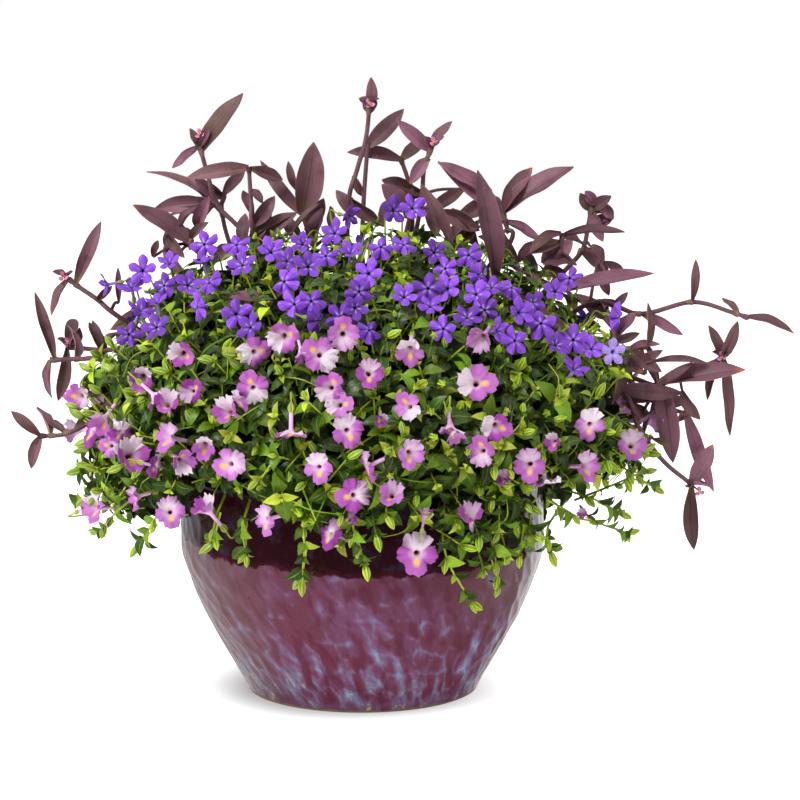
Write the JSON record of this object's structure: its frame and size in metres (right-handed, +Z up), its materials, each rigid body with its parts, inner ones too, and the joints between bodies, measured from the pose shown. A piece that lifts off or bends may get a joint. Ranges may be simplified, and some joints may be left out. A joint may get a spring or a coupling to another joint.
{
  "type": "potted wishbone flower",
  "caption": "Glazed bowl planter holding a full mixed planting: wishbone flower trailing over the front, violet star flowers above it and dusky purple heart shoots behind.",
  "frame": {"origin": "centre of the bowl's flat foot, on the surface it stands on", "axes": "+Z up along the bowl's axis, -Y towards the side that the planting is seen from, +X to the right as seen from there"},
  "size_m": [0.7852, 0.4948, 0.6159],
  "materials": {
    "oxblood_glaze": "gloss",
    "potting_earth": "rough",
    "purple_heart_leaf": "satin",
    "star_leaf": "satin",
    "wishbone_leaf": "satin",
    "star_petal": "matte",
    "wishbone_petal": "matte"
  },
  "bodies": {
    "root": {"pot": "oxblood_glaze", "potting_mix": "potting_earth", "purple_heart_back_far_left": "purple_heart_leaf", "purple_heart_back_far_right": "purple_heart_leaf", "purple_heart_back_left": "purple_heart_leaf", "purple_heart_back_left_big": "purple_heart_leaf", "purple_heart_back_left_low": "purple_heart_leaf", "purple_heart_back_left_pair": "purple_heart_leaf", "purple_heart_back_left_tall": "purple_heart_leaf", "purple_heart_back_right": "purple_heart_leaf", "purple_heart_centre_arched": "purple_heart_leaf", "purple_heart_centre_flowered": "purple_heart_leaf", "purple_heart_centre_fork": "purple_heart_leaf", "purple_heart_centre_low": "purple_heart_leaf", "purple_heart_centre_tall": "purple_heart_leaf", "purple_heart_front_grey": "purple_heart_leaf", "purple_heart_front_left": "purple_heart_leaf", "purple_heart_front_long": "purple_heart_leaf", "purple_heart_front_tall": "purple_heart_leaf", "purple_heart_left_curled": "purple_heart_leaf", "purple_heart_left_high": "purple_heart_leaf", "purple_heart_left_low": "purple_heart_leaf", "purple_heart_left_middle": "purple_heart_leaf", "purple_heart_right_back_curled": "purple_heart_leaf", "purple_heart_right_back_fan": "purple_heart_leaf", "purple_heart_right_back_pair": "purple_heart_leaf", "purple_heart_right_hanging": "purple_heart_leaf", "purple_heart_right_long": "purple_heart_leaf", "purple_heart_right_low": "purple_heart_leaf", "purple_heart_right_middle": "purple_heart_leaf", "purple_heart_right_tangle": "purple_heart_leaf", "purple_heart_upright_broad": "purple_heart_leaf", "star_foliage_left": "star_leaf", "star_foliage_middle": "star_leaf", "star_foliage_right": "star_leaf", "star_spray_01": "star_petal", "star_spray_02": "star_petal", "star_spray_03": "star_petal", "star_spray_04": "star_petal", "star_spray_05": "star_petal", "star_spray_06": "star_petal", "star_spray_07": "star_petal", "star_spray_08": "star_petal", "star_spray_09": "star_petal", "star_spray_10": "star_petal", "star_spray_11": "star_petal", "star_spray_12": "star_petal", "star_spray_13": "star_petal", "wishbone_foliage_left": "wishbone_leaf", "wishbone_foliage_middle": "wishbone_leaf", "wishbone_foliage_right": "wishbone_leaf", "wishbone_spray_01": "wishbone_petal", "wishbone_spray_02": "wishbone_petal", "wishbone_spray_03": "wishbone_petal", "wishbone_spray_04": "wishbone_petal", "wishbone_spray_05": "wishbone_petal", "wishbone_spray_06": "wishbone_petal", "wishbone_spray_07": "wishbone_petal", "wishbone_spray_08": "wishbone_petal", "wishbone_spray_09": "wishbone_petal"}
  },
  "joints": []
}
